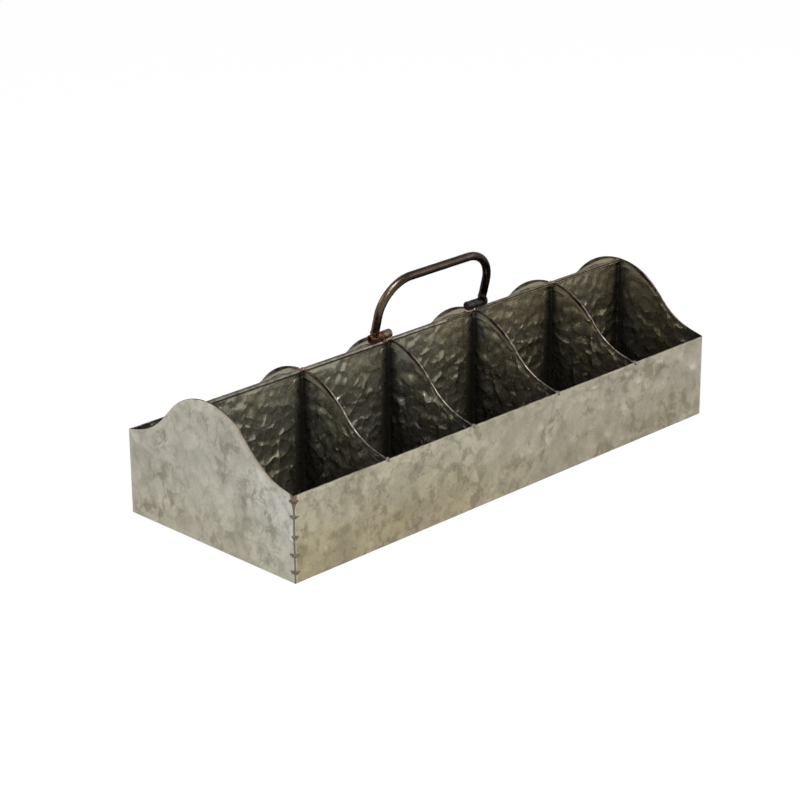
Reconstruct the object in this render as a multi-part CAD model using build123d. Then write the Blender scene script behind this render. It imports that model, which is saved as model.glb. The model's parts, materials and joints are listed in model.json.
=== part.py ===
from build123d import *
import os
from math import atan2, hypot, tan

# Bottle caddy: a hammered sheet-metal tray with five compartments on each side of a tall
# spine, and a bail that swings in two hinges on top of the spine. Millimetres, +Z up.
# The origin is on the resting face, in the middle of the length and of the width.
# +X runs along the caddy, to the right as seen from the front, and -Y is the front.

# Tray
caddy_length = 508.0
caddy_width = 203.0
wall_height = 76.0
hump_height = 128.0
sheet = 0.8
bend_radius = 0.6
floor_flange = 12.0
hem_depth = 6.0
seat_gap = 0.1

# The hump's outline: a level crown, a steep flank and a nearly level tail, joined by arcs.
# Places are shares of the half width and of the rise above the walls.
crown_turn_share = 0.267
hollow_turn_share = 0.682
hollow_rise_share = 0.149
crown_round_share = 0.97
hollow_round_share = 0.62

# Dividers: their places along the caddy, as shares of its length
divider_shares = (0.2061, 0.4043, 0.6120, 0.8130)
divider_flange = 10.0

# Spine, with its top edge rolled round a wire
bead_diameter = 4.0
spine_flange = 6.0
flange_drop = 7.0

# Hinges on the spine
knuckle_diameter = 7.6
pin_diameter = 4.5
running_clearance = 0.05
swing_knuckle_length = 14.5
swing_knuckle_shift = 2.2
fixed_knuckle_length = 9.4
knuckle_gap = 0.3
knuckle_lift = 0.6
pin_recess = 4.0

# Bail
bail_diameter = 7.5
bail_spacing = 132.4
bail_height = 52.9
bail_bend_radius = 31.4
bail_place = 0.6
bail_lean = 14.4

# Weld tacks and spot welds. The corner tacks' heights are shares of the wall's height.
tack_reach = 4.8
tack_height = 3.6
tack_proud = 0.35
tack_shares = (0.125, 0.32, 0.53, 0.755, 0.93)
rim_tack_length = 5.0
rim_tack_width = 3.0
rim_tack_rise = 0.9
spot_diameter = 4.0
spot_proud = 0.2
spot_pitch = 22.0

# Places that follow from the sizes above
half_length = caddy_length / 2
half_width = caddy_width / 2
inner_length = half_length - sheet
inner_width = half_width - sheet
floor_top = 2 * sheet
bead_radius = bead_diameter / 2
bead_height = hump_height - bead_radius
wire_radius = bead_radius - sheet
flange_top = hump_height - flange_drop
spine_face = sheet / 2
knuckle_radius = knuckle_diameter / 2
hinge_height = hump_height + knuckle_lift + knuckle_radius
divider_places = [caddy_length * (share - 1 / 2) for share in divider_shares]


def block(x, y, z):
    """A box between two values along each axis, in any order."""
    size = [abs(b - a) for a, b in (x, y, z)]
    middle = [(a + b) / 2 for a, b in (x, y, z)]
    return Pos(*middle) * Box(*size)


def rod(radius, x):
    """A round bar along X between two values, on the X axis."""
    return Pos((x[0] + x[1]) / 2, 0, 0) * Rot(0, 90, 0) * Cylinder(radius, abs(x[1] - x[0]))


def across(face, x):
    """Extrudes a face drawn in Y and Z between two values of X."""
    return extrude(Pos(min(x), 0, 0) * (Plane.YZ * face), abs(x[1] - x[0]))


def area(y, z):
    """A rectangle in Y and Z between two values along each."""
    return Pos((y[0] + y[1]) / 2, (z[0] + z[1]) / 2) * Rectangle(abs(y[1] - y[0]), abs(z[1] - z[0]))


# Hump outline, from the front wall over the crown to the back wall
rise = hump_height - wall_height
crown_turn = (half_width * crown_turn_share, hump_height)
hollow_turn = (half_width * hollow_turn_share, wall_height + rise * hollow_rise_share)
tail_end = (half_width, wall_height)
flank_run = hollow_turn[0] - crown_turn[0]
flank_drop = crown_turn[1] - hollow_turn[1]
flank_slope = atan2(flank_drop, flank_run)
tail_slope = atan2(hollow_turn[1] - tail_end[1], tail_end[0] - hollow_turn[0])
crown_tangent = crown_turn[0] * crown_round_share
crown_radius = crown_tangent / tan(flank_slope / 2)
hollow_tangent = hollow_round_share * min(
    hypot(flank_run, flank_drop) - crown_tangent,
    hypot(tail_end[0] - hollow_turn[0], hollow_turn[1] - tail_end[1]),
)
hollow_radius = hollow_tangent / tan((flank_slope - tail_slope) / 2)


def mirrored(point):
    return (-point[0], point[1])


hump_curve = FilletPolyline(
    mirrored(tail_end),
    mirrored(hollow_turn),
    mirrored(crown_turn),
    crown_turn,
    hollow_turn,
    tail_end,
    radius=[hollow_radius, crown_radius, crown_radius, hollow_radius],
)
hump_sides = Polyline(tail_end, (half_width, 0), (-half_width, 0), mirrored(tail_end))
hump_face = make_face(hump_curve + hump_sides)
hem_band = hump_face - Pos(0, -hem_depth) * hump_face
hem_band -= area((-half_width, half_width), (0, wall_height - hem_depth))

# Space round and above the rolled edge of the spine, kept free by what stands beside it
bead_reach = bead_radius + seat_gap
bead_space = Pos(0, 0, bead_height) * rod(bead_reach, (-half_length, half_length))
bead_slot = block(
    (-half_length, half_length), (-bead_reach, bead_reach), (bead_height, hump_height + sheet)
)


# Floor sheet, lying on the flanges of the four walls
def floor_sheet():
    x = inner_length - seat_gap
    y = inner_width - seat_gap
    return block((-x, x), (-y, y), (sheet, floor_top))


# Front wall: a flange under the floor and a folded hem along the rim
def front_wall():
    plate = area((-half_width, -inner_width), (0, wall_height))
    foot = area((-half_width, floor_flange - half_width), (0, sheet))
    section = plate + foot
    outer = [v for v in section.vertices() if abs(v.Y) < sheet / 2 and abs(v.X) > inner_width]
    section = fillet(outer, bend_radius)
    wall = across(section, (-inner_length, inner_length))
    fold = (-inner_width, sheet - inner_width)
    hem_end = inner_length - sheet - seat_gap
    wall += across(area(fold, (wall_height - hem_depth, wall_height)), (-hem_end, hem_end))
    rim = [e for e in wall.edges().filter_by(Axis.X) if e.center().Z > wall_height - sheet / 2]
    rim = [e for e in rim if abs(abs(e.center().Y) - inner_width) > sheet / 2]
    return fillet(rim, bend_radius)


# Right end panel: a humped top with a folded hem inside, and a flange under the floor
def right_panel():
    panel = across(hump_face, (inner_length, half_length))
    foot_end = half_width - floor_flange - seat_gap
    panel += block((half_length - floor_flange, half_length), (-foot_end, foot_end), (0, sheet))
    for side in (-1, 1):
        hem_y = (side * bead_reach, side * (inner_width - seat_gap))
        hem = hem_band & area(hem_y, (0, hump_height))
        panel += across(hem, (inner_length - sheet, inner_length))
    corner = [
        e for e in panel.edges().filter_by(Axis.Y)
        if e.center().Z < sheet / 2 and e.center().X > inner_length + sheet / 2
    ]
    return fillet(corner, bend_radius)


# Shells: the front wall and the right end panel are one blank, folded at their corner. The back wall
# and the left end panel are a second one like it, turned half round.
def front_right_shell():
    blank = front_wall() + right_panel()
    room = block((-half_length, half_length), (-half_width, half_width), (0, hump_height))
    corner = room.edges().filter_by(Axis.Z).sort_by(lambda e: e.center().X - e.center().Y)[-1]
    return blank & fillet(corner, bend_radius)


# Spine: a sheet rolled round a wire along its top, with a flange against each end panel
def spine_panel():
    ends = (-inner_length, inner_length)
    spine = block(ends, (-spine_face, spine_face), (floor_top, bead_height))
    spine += Pos(0, 0, bead_height) * rod(bead_radius, ends)
    spine -= Pos(0, 0, bead_height) * rod(wire_radius + running_clearance, ends)
    for side in (-1, 1):
        spine += block(
            (side * inner_length, side * (inner_length - sheet)),
            (spine_face, -spine_face - spine_flange),
            (floor_top, flange_top - seat_gap),
        )
    return spine


def spine_rim_wire():
    return Pos(0, 0, bead_height) * rod(wire_radius, (-inner_length, inner_length))


# Dividers: half a hump, hemmed on the left face, with a flange folded against the spine
def divider(place, side):
    near = (side * spine_face, side * inner_width)
    heights = (floor_top, hump_height)
    plate = across(hump_face & area(near, heights), (place - sheet / 2, place + sheet / 2))
    flange = block(
        (place - sheet / 2 - divider_flange, place + sheet / 2),
        (side * spine_face, side * (spine_face + sheet)),
        (floor_top, flange_top),
    )
    bend = [
        e for e in flange.edges().filter_by(Axis.Z)
        if e.center().X > place and abs(e.center().Y) < spine_face + sheet / 2
    ]
    flange = fillet(bend, bend_radius)
    plate -= block(
        (place, place + sheet), (side * spine_face, side * (spine_face + sheet)), (floor_top, flange_top)
    )
    hem = across(hem_band & area(near, heights), (place - sheet / 2, place - sheet * 3 / 2))
    wall_hem = block(
        (place - 2 * sheet, place + sheet),
        (side * inner_width, side * (inner_width - sheet)),
        (wall_height - hem_depth - seat_gap, hump_height),
    )
    return plate + flange + hem - bead_space - bead_slot - wall_hem


# Knuckles, hinge pins and the saddles that carry the fixed knuckles. Side -1 is the left hinge.
# Each span runs from its end nearer the tray's end panel to its end nearer the middle.
def swing_span(side):
    leg = bail_place + side * bail_spacing / 2
    middle = leg - side * swing_knuckle_shift
    return (middle + side * swing_knuckle_length / 2, middle - side * swing_knuckle_length / 2)


def fixed_span(side):
    outer = swing_span(side)[1] - side * knuckle_gap
    return (outer, outer - side * fixed_knuckle_length)


def on_hinge(shape):
    return Pos(0, 0, hinge_height) * shape


def fixed_knuckle(side):
    span = fixed_span(side)
    return on_hinge(rod(knuckle_radius, span) - rod(pin_diameter / 2, span))


def swing_knuckle(side):
    span = swing_span(side)
    return on_hinge(rod(knuckle_radius, span) - rod(pin_diameter / 2 + running_clearance, span))


def hinge_pin(side):
    inner = fixed_span(side)[1]
    outer = swing_span(side)[0] - side * pin_recess
    return on_hinge(rod(pin_diameter / 2, (inner, outer)))


def knuckle_saddle(side):
    span = fixed_span(side)
    saddle = block(span, (-bead_radius, bead_radius), (bead_height, hinge_height))
    return saddle - bead_space - on_hinge(rod(knuckle_radius + running_clearance, span))


# Bail: one round bar with two bends, coped onto the swing knuckles
def bail_rod():
    half = bail_spacing / 2
    route = Plane.XZ * FilletPolyline(
        (-half, 0), (-half, bail_height), (half, bail_height), (half, 0), radius=bail_bend_radius
    )
    bar = sweep(Plane(origin=route @ 0, z_dir=route % 0) * Circle(bail_diameter / 2), path=route)
    bar = on_hinge(Pos(bail_place, 0, 0) * Rot(bail_lean, 0, 0) * bar)
    for side in (-1, 1):
        bar -= on_hinge(rod(knuckle_radius, swing_span(side)))
    return bar


# Weld tacks: on the two corners where the shells meet, and where each divider meets a wall's rim
def corner_tack(side, height):
    z = (height - tack_height / 2, height + tack_height / 2)
    x = (side * (half_length + tack_proud), side * (half_length - tack_reach))
    y = (side * (half_width + tack_proud), side * (half_width - tack_reach))
    return block(x, y, z) - block((0, side * half_length), (0, side * half_width), z)


def corner_weld_tacks():
    return [corner_tack(side, wall_height * share) for side in (-1, 1) for share in tack_shares]


def rim_tack(place, side):
    bead = Pos(place, side * (half_width - sheet), wall_height) * scale(
        Sphere(1), by=(rim_tack_length / 2, rim_tack_width / 2, rim_tack_rise)
    )
    return bead & block(
        (place - rim_tack_length, place + rim_tack_length),
        (side * (half_width - rim_tack_width), side * half_width),
        (wall_height, hump_height),
    )


def spot_heights():
    count = int((flange_top - floor_top) / spot_pitch)
    return [flange_top - spot_pitch * (step + 1 / 2) for step in range(count)]


# Spot welds on the flanges of the dividers and of the spine
def flange_spot_welds():
    spots = []
    for place in divider_places:
        for side in (-1, 1):
            middle = side * (spine_face + sheet + spot_proud / 2)
            for z in spot_heights():
                spot = Rot(90, 0, 0) * Cylinder(spot_diameter / 2, spot_proud)
                spots.append(Pos(place - sheet / 2 - divider_flange / 2, middle, z) * spot)
    for side in (-1, 1):
        middle = side * (inner_length - sheet - spot_proud / 2)
        for z in spot_heights():
            spot = Rot(0, 90, 0) * Cylinder(spot_diameter / 2, spot_proud)
            spots.append(Pos(middle, -spine_face - spine_flange / 2, z) * spot)
    return spots


folded_shell = front_right_shell()
nodes = {
    "floor_sheet": floor_sheet(),
    "front_right_shell": folded_shell,
    "back_left_shell": Rot(0, 0, 180) * folded_shell,
    "spine_panel": spine_panel(),
    "spine_rim_wire": spine_rim_wire(),
    "corner_weld_tacks": Compound(corner_weld_tacks()),
    "flange_spot_welds": Compound(flange_spot_welds()),
    "bail_rod": bail_rod(),
}
rim_tacks = []
for number, place in enumerate(divider_places, start=1):
    for side, name in ((-1, "front"), (1, "back")):
        piece = divider(place, side)
        nodes[f"{name}_divider_{number}"] = piece
        rim_tacks.append(rim_tack(place, side) - piece)
nodes["divider_weld_tacks"] = Compound(rim_tacks)
for side, name in ((-1, "left"), (1, "right")):
    nodes[f"{name}_fixed_knuckle"] = fixed_knuckle(side)
    nodes[f"{name}_swing_knuckle"] = swing_knuckle(side)
    nodes[f"{name}_hinge_pin"] = hinge_pin(side)
    nodes[f"{name}_knuckle_saddle"] = knuckle_saddle(side)

os.makedirs("parts", exist_ok=True)
for name, shape in nodes.items():
    export_step(shape, f"parts/{name}.step")
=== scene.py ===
import functools
import json
import math

import bmesh
import bpy
import numpy as np
from mathutils import Matrix, Vector, noise


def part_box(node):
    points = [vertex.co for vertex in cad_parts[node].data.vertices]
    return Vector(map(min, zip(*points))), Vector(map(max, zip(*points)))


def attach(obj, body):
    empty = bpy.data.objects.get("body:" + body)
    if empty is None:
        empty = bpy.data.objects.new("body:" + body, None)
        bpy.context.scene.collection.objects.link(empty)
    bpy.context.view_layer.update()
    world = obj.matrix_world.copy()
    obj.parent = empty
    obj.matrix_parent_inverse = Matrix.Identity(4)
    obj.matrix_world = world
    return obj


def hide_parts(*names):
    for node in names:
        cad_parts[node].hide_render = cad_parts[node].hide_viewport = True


# Looks of the bottle caddy, in metres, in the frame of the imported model.
# The sheets, welds, hinges and the bail are rebuilt here with their hammer marks, hems and lumps.
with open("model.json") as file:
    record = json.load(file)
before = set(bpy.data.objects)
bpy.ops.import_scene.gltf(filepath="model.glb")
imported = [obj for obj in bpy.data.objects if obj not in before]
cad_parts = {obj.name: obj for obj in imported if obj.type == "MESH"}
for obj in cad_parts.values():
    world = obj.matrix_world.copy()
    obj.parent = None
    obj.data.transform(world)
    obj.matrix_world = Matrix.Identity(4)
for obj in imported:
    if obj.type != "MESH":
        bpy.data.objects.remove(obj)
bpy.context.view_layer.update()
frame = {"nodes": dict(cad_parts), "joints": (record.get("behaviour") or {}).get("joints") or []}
MM = 0.001

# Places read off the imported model
shell_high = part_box("front_right_shell")[1]
half_length = shell_high.x
half_width = shell_high.y
hump_top = shell_high.z
wall_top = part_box("divider_weld_tacks")[0].z
floor_low, floor_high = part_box("floor_sheet")
sheet = floor_high.z - floor_low.z
floor_top = floor_high.z
inner_length = half_length - sheet
inner_width = half_width - sheet
divider_places = [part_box(f"front_divider_{number}")[1].x - sheet / 2 for number in (1, 2, 3, 4)]
wire_low, wire_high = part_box("spine_rim_wire")
bead_height = (wire_low.z + wire_high.z) / 2
bead_radius = hump_top - bead_height
hinge_axis = Vector(frame["joints"][0]["pos_m"])
knuckle_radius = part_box("left_swing_knuckle")[1].y

# Sizes of the folded sheets
bend_radius = 1.0 * MM
foot_width = 12 * MM
hem_depth = 6 * MM
hem_lip = 0.16 * MM
hem_stop = 21 * MM
divider_flange = 10 * MM
flange_corner = 3 * MM
spine_flange = 6 * MM
flange_drop = 7 * MM
flange_top = hump_top - flange_drop
fit_gap = 0.1 * MM

# How the sheets are meshed and hammered, how far their rims and rust reach, and the painted highlight on the
# hems' lips
mesh_step = 1.7 * MM
arc_steps = 5
rim_steps = 6
dent_limit = 2 * MM
shell_dent_limit = 0.7 * MM
outward_share = 1.25
rim_band_share = 0.1
lip_highlight = 0.8
edge_reach = 2.2 * MM

# Hump outline, as shares of the half width and of the rise above the walls
crown_turn_share = 0.267
hollow_turn_share = 0.682
hollow_rise_share = 0.149
crown_round_share = 0.97
hollow_round_share = 0.62

# Hinges and bail
bore_radius = 2.45 * MM
knuckle_lip = 0.7 * MM
bail_radius = 3.75 * MM
bail_spacing = 132.4 * MM
bail_height = 52.9 * MM
bail_bend_radius = 31.4 * MM
bail_lean = math.radians(14.4)

# Spot welds and tacks
spot_pitch = 22 * MM
spot_radius = 2.0 * MM
tack_shares = (0.125, 0.32, 0.53, 0.755, 0.93)

# Camera, fitted to the corners of the object in the photograph
camera_place = Vector((-1.4865, -1.4642, 0.8771))
camera_azimuth = math.radians(-44.75)
camera_elevation = math.radians(21.44)
camera_roll = math.radians(-0.48)
camera_lens_mm = 115.2
sensor_mm = 36


# Hump outline as a height over the distance from the middle
def hump_parts():
    rise = hump_top - wall_top
    crown = Vector((half_width * crown_turn_share, hump_top))
    hollow = Vector((half_width * hollow_turn_share, wall_top + rise * hollow_rise_share))
    tail = Vector((half_width, wall_top))
    flank = (hollow - crown).normalized()
    slope = math.atan2(-flank.y, flank.x)
    tail_slope = math.atan2(hollow.y - tail.y, tail.x - hollow.x)
    crown_tangent = crown.x * crown_round_share
    shorter_run = min((hollow - crown).length - crown_tangent, (tail - hollow).length)
    hollow_tangent = hollow_round_share * shorter_run
    return {
        "crown": crown,
        "hollow": hollow,
        "tail": tail,
        "flank": flank,
        "crown_tangent": crown_tangent,
        "hollow_tangent": hollow_tangent,
        "crown_radius": crown_tangent / math.tan(slope / 2),
        "hollow_radius": hollow_tangent / math.tan((slope - tail_slope) / 2),
    }


hump = hump_parts()
hollow_start = hump["hollow"] - hump["flank"] * hump["hollow_tangent"]
flank_start = hump["crown"] + hump["flank"] * hump["crown_tangent"]
inflection = (flank_start.x + hollow_start.x) / 2


def hump_height(y):
    """Height of the hump's outline at distances y from the middle of the width."""
    y = np.abs(np.asarray(y, float))
    crown, hollow, tail, flank = (hump[key] for key in ("crown", "hollow", "tail", "flank"))
    crown_centre_y = crown.x - hump["crown_tangent"]
    hollow_centre = hollow_start + Vector((-flank.y, flank.x)) * hump["hollow_radius"]
    tail_direction = (tail - hollow).normalized()
    hollow_end = hollow + tail_direction * hump["hollow_tangent"]
    heights = np.full_like(y, hump_top)
    arc = y > crown_centre_y
    reach = np.clip(hump["crown_radius"] ** 2 - (y - crown_centre_y) ** 2, 0, None)
    heights[arc] = (hump_top - hump["crown_radius"] + np.sqrt(reach))[arc]
    line = y > flank_start.x
    heights[line] = (flank_start.y + (y - flank_start.x) * flank.y / flank.x)[line]
    arc = y > hollow_start.x
    reach = np.clip(hump["hollow_radius"] ** 2 - (y - hollow_centre.x) ** 2, 0, None)
    heights[arc] = (hollow_centre.y - np.sqrt(reach))[arc]
    line = y > hollow_end.x
    heights[line] = (hollow_end.y + (y - hollow_end.x) * tail_direction.y / tail_direction.x)[line]
    return heights


def ease(values, start, end):
    """Rises smoothly from 0 at start to 1 at end."""
    t = np.clip((np.asarray(values, float) - start) / (end - start), 0, 1)
    return t * t * (3 - 2 * t)


# Hammer marks: overlapping shallow dishes with creases between them. Each mark is a paraboloid round
# a jittered lattice point, and the surface follows the lowest one.
def hammer_marks(places, seed, pitch, depth, upright=False):
    """Heights of a hammered surface at places, an array of pairs, and how near each place is to a crease."""
    turn_range = (-0.35, 0.35) if upright else (0, math.pi)
    stretch_range = (1.0, 1.5) if upright else (0.72, 1.3)
    lift_share = 0.6
    softening_share = 0.06
    softening_reach = 0.12
    crease_reach = 0.22
    rng = np.random.default_rng(seed)
    reach = 2
    low = places.min(0) - (reach + 1) * pitch
    counts = np.ceil((places.max(0) - low) / pitch).astype(int) + reach + 1
    grid = np.stack(np.meshgrid(*[np.arange(count) for count in counts], indexing="ij"), -1)
    centres = low + (grid + 0.5 + rng.uniform(-0.5, 0.5, grid.shape)) * pitch
    turns = rng.uniform(*turn_range, grid.shape[:2])
    stretches = rng.uniform(*stretch_range, grid.shape[:2])
    lifts = rng.uniform(0, lift_share, grid.shape[:2]) * depth
    cell = np.floor((places - low) / pitch).astype(int)
    lowest = second = np.full(len(places), np.inf)
    for step_u in range(-reach, reach + 1):
        for step_v in range(-reach, reach + 1):
            i, j = cell[:, 0] + step_u, cell[:, 1] + step_v
            offset = places - centres[i, j]
            cos, sin = np.cos(turns[i, j]), np.sin(turns[i, j])
            along = (offset[:, 0] * cos + offset[:, 1] * sin) * stretches[i, j]
            across = (offset[:, 1] * cos - offset[:, 0] * sin) / stretches[i, j]
            dish = lifts[i, j] + depth * (along**2 + across**2) / (pitch / 2) ** 2
            second = np.minimum(second, np.maximum(lowest, dish))
            lowest = np.minimum(lowest, dish)
    gap = (second - lowest) / depth
    softening = softening_share * depth * np.exp(-gap / softening_reach)
    return lowest - softening - lowest.mean(), np.exp(-gap / crease_reach)


def soft_waves(places, seed, size, depth):
    """Slow bulges of a thin sheet, as a few crossing waves."""
    rng = np.random.default_rng(seed + 500)
    waves = 6
    turns, phases = rng.uniform(0, math.pi, (2, waves))
    stretches = rng.uniform(0.6, 1.5, waves)
    total = np.zeros(len(places))
    for turn, phase, stretch in zip(turns, phases, stretches):
        along = places[:, 0] * math.cos(turn) + places[:, 1] * math.sin(turn)
        total += np.sin(along * 2 * math.pi / (size * stretch) + 2 * phase)
    return total * depth / math.sqrt(waves)


# Paths seen from above, with the normal on the right of the direction of travel
def rounded_path(corners, radius, step, flip=False):
    """Points, normals and travelled lengths along straight runs joined by arcs."""
    corners = [Vector(corner) for corner in corners]
    points = []
    directions = []
    here = corners[0]
    for number in range(1, len(corners)):
        run = (corners[number] - corners[number - 1]).normalized()
        last = number == len(corners) - 1
        stop = corners[number]
        if not last:
            after = (corners[number + 1] - corners[number]).normalized()
            turn = run.angle_signed(after)
            tangent = radius * math.tan(abs(turn) / 2)
            stop = corners[number] - run * tangent
        count = max(1, round((stop - here).length / step))
        for k in range(count + (1 if last else 0)):
            points.append(here.lerp(stop, k / count))
            directions.append(run)
        if not last:
            side = Vector((-run.y, run.x)) * (1 if run.cross(after) > 0 else -1)
            centre = stop + side * radius
            for k in range(arc_steps):
                spin = Matrix.Rotation(math.copysign(abs(turn), run.cross(after)) * k / arc_steps, 2)
                points.append(centre + spin @ (stop - centre))
                directions.append(spin @ run)
            here = corners[number] + after * tangent
    points = np.array(points)
    directions = np.array(directions)
    normals = np.stack([directions[:, 1], -directions[:, 0]], 1) * (-1 if flip else 1)
    lengths = np.concatenate([[0], np.cumsum(np.linalg.norm(np.diff(points, axis=0), axis=1))])
    return points, normals, lengths


# Folded sheets
OUTSIDE, RIM, INSIDE = range(3)


def sheet_sections(top, bottom, hem, foot, rows, band):
    """Cross-sections of a sheet, column by column, as five arrays: offsets from its middle plane, heights,
    what each point is, whether hammer marks move it and how far it is kept out of the painted shade (a
    painted highlight on the hem's raised lip). hem is from 0 to 1, the share of a full folded hem on the
    inner side. foot is the width of a bottom flange, or None. band is the share of the hem that has the
    rim's finish."""
    face = sheet / 2
    hem_sheet = sheet * ease(hem, 0, 0.25)
    depth = hem_depth * hem
    radius = (sheet + hem_sheet) / 2
    rim_start = top - radius
    points = []

    def add(offset, height, kind, dented=0, unshaded=0):
        points.append([np.broadcast_to(value, top.shape) for value in (offset, height, kind, dented, unshaded)])

    footed = foot is not None
    if footed:
        add(face - foot, bottom, OUTSIDE)
        for k in range(arc_steps):
            angle = math.pi / 2 * k / arc_steps
            inset = bend_radius * (1 - math.sin(angle))
            add(face - inset, bottom + bend_radius * (1 - math.cos(angle)), OUTSIDE)
    start = bottom + (bend_radius if footed else 0)
    for k in range(rows + 1):
        add(face, start + (rim_start - start) * k / rows, OUTSIDE, dented=1)
    for k in range(1, rim_steps):
        angle = math.pi * k / rim_steps
        add(-hem_sheet / 2 + radius * math.cos(angle), rim_start + radius * math.sin(angle), RIM)
    add(-face - hem_sheet, rim_start, RIM)
    hem_rows = ((band, 0), (0.86, 0), (0.91, 1), (0.96, 1), (1, 0))
    for share, raised in hem_rows:
        # The raised lip is partly kept out of the painted shade: a painted highlight along the hem's edge
        lip = hem * raised
        add(-face - hem_sheet - hem_lip * lip, rim_start - depth * share, INSIDE, unshaded=lip_highlight * lip)
    hem_end = rim_start - depth
    low = bottom + (sheet if footed else 0)
    for k in range(rows + 2):
        add(-face, hem_end - (hem_end - low) * k / (rows + 1), INSIDE, dented=1)
    if footed:
        add(face - foot, bottom + sheet, INSIDE)
    return [np.array(values) for values in zip(*points)]


def sheet_piece(name, path, top, dent, materials, bottom=0.0, hem=0.0, foot=None, flat_share=0.0,
                other=False, limit=dent_limit, band=rim_band_share):
    """A folded sheet along a path: a closed mesh with hammer marks that fade out towards its edges.
    materials are those of the outside, the rim and the inside, and then of columns where other is true."""
    end_fade = (0, 4 * MM)
    foot_fade = (0.5 * MM, 6 * MM)
    hem_fade = (0.3 * MM, 3.5 * MM)
    xy, normals, lengths = path
    top, hem, flat_share, other = (np.broadcast_to(v, lengths.shape) for v in (top, hem, flat_share, other))
    rows = max(4, round((top.max() - bottom) / mesh_step))
    offsets, heights, kinds, dented, unshaded = sheet_sections(top, bottom, hem, foot, rows, band)
    along = np.broadcast_to(lengths, heights.shape)
    marks, creases = dent(np.stack([along, heights], -1).reshape(-1, 2))
    marks = marks.reshape(heights.shape)
    most = limit * np.where(marks > 0, outward_share, 1)
    marks = most * np.tanh(marks / most)
    fade = ease(along, *end_fade) * ease(lengths[-1] - along, *end_fade) * (1 - flat_share)
    fade = fade * ease(heights - bottom, *foot_fade) * ease(top - hem * hem_depth - heights, *hem_fade)
    fade = fade * dented
    shift = offsets + marks * fade
    co = np.stack([xy[:, 0] + normals[:, 0] * shift, xy[:, 1] + normals[:, 1] * shift, heights], -1)
    return swept_piece(
        name, co, kinds + 3 * other, materials,
        crease=creases.reshape(heights.shape) * fade, unshaded=unshaded, edge=np.exp(-(top - heights) / edge_reach),
    )


def painted_shade(co):
    """From 0 to 1, how dark each place is made: painted shade low down, near an upright corner of the
    compartments and just under the rolled edge, and darker on the front faces and towards the right of the
    spine.
    """
    corner_share = 0.92
    low_share = 1.3
    low_share_on_spine = 0.3
    most_low = 0.97
    front_darkening = 0.25
    east_darkening = 0.22
    under_bead_shade = 0.6
    x, y, z = co[..., 0], co[..., 1], co[..., 2]
    across = np.min([np.abs(x - line) for line in (-inner_length, *divider_places, inner_length)], 0)
    along = np.minimum(np.abs(y), np.abs(inner_width - np.abs(y)))
    depth = np.clip(1 - z / hump_top, 0, 1)
    reach = (4 + 18 * depth) * MM
    corner = np.exp(-(np.maximum(np.maximum(across, along) - 2 * MM, 0) / reach) ** 2)
    on_spine = 1 - ease(np.abs(y), 1 * MM, 4 * MM)
    front = ease(-y, -1 * MM, 2 * MM)
    east = ease(x, 0, 0.7 * half_length)
    # Painted shade in a narrow band just under the rolled edge
    under_bead = ease(z, bead_height - 3.2 * MM, bead_height - 2.0 * MM)
    dimmer = front_darkening * front * (1 - on_spine) + east_darkening * on_spine * east
    dimmer = np.maximum(dimmer, under_bead_shade * on_spine * under_bead)
    # Painted shade low down and near the upright corners
    low = np.clip((low_share + (low_share_on_spine - low_share) * on_spine) * depth, 0, most_low)
    return 1 - (1 - low) * (1 - corner_share * corner) * (1 - dimmer)


def swept_piece(name, co, slots, materials, closed_ends=True, crease=0, unshaded=0, edge=0):
    """A mesh from rows of points, co[section point][column], whose sections are closed loops. slots are the
    material slots of the faces that start at each point. Creases, painted shade and edges are kept on the
    points."""
    count, columns = co.shape[:2]
    index = np.arange(count * columns).reshape(count, columns)
    after = np.roll(index, -1, 0)
    quads = np.stack([index[:, :-1], index[:, 1:], after[:, 1:], after[:, :-1]], -1).reshape(-1, 4)
    faces = [tuple(int(v) for v in quad) for quad in quads]
    face_slots = np.broadcast_to(np.asarray(slots), (count, columns))[:, :-1].reshape(-1).tolist()
    if closed_ends:
        faces += [tuple(index[::-1, 0].tolist()), tuple(index[:, -1].tolist())]
        face_slots += [face_slots[0], face_slots[0]]
    mesh = bpy.data.meshes.new(name)
    mesh.from_pydata(co.reshape(-1, 3).tolist(), [], faces)
    for material in materials:
        mesh.materials.append(material)
    mesh.polygons.foreach_set("material_index", face_slots)
    # The second value is each point's painted shade, lessened on the hem's raised lip as a painted highlight
    for key, values in (("crease", crease), ("painted_shade", painted_shade(co) * (1 - unshaded)), ("edge", edge)):
        keep_on_points(mesh, key, np.broadcast_to(values, (count, columns)))
    return finished(name, mesh)


def keep_on_points(mesh, key, values):
    attribute = mesh.attributes.new(key, "FLOAT", "POINT")
    attribute.data.foreach_set("value", np.asarray(values, np.float32).reshape(-1))


def finished(name, mesh, sharp=40):
    """Welds coincident points, points the faces outwards and makes an object of the mesh."""
    merge_distance = 0.002 * MM
    work = bmesh.new()
    work.from_mesh(mesh)
    bmesh.ops.remove_doubles(work, verts=work.verts, dist=merge_distance)
    bmesh.ops.dissolve_degenerate(work, edges=work.edges, dist=merge_distance)
    bmesh.ops.recalc_face_normals(work, faces=work.faces)
    work.to_mesh(mesh)
    work.free()
    mesh.shade_smooth()
    mesh.set_sharp_from_angle(angle=math.radians(sharp))
    return linked(name, mesh)


def linked(name, data):
    """An object of the data, in the scene."""
    piece = bpy.data.objects.new(name, data)
    bpy.context.scene.collection.objects.link(piece)
    return piece


def joined(name, pieces):
    """One object from several, with their shared materials merged."""
    for piece in bpy.context.selected_objects:
        piece.select_set(False)
    for piece in pieces:
        piece.select_set(True)
    bpy.context.view_layer.objects.active = pieces[0]
    bpy.ops.object.join()
    pieces[0].name = name
    pieces[0].data.name = name
    return pieces[0]


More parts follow.
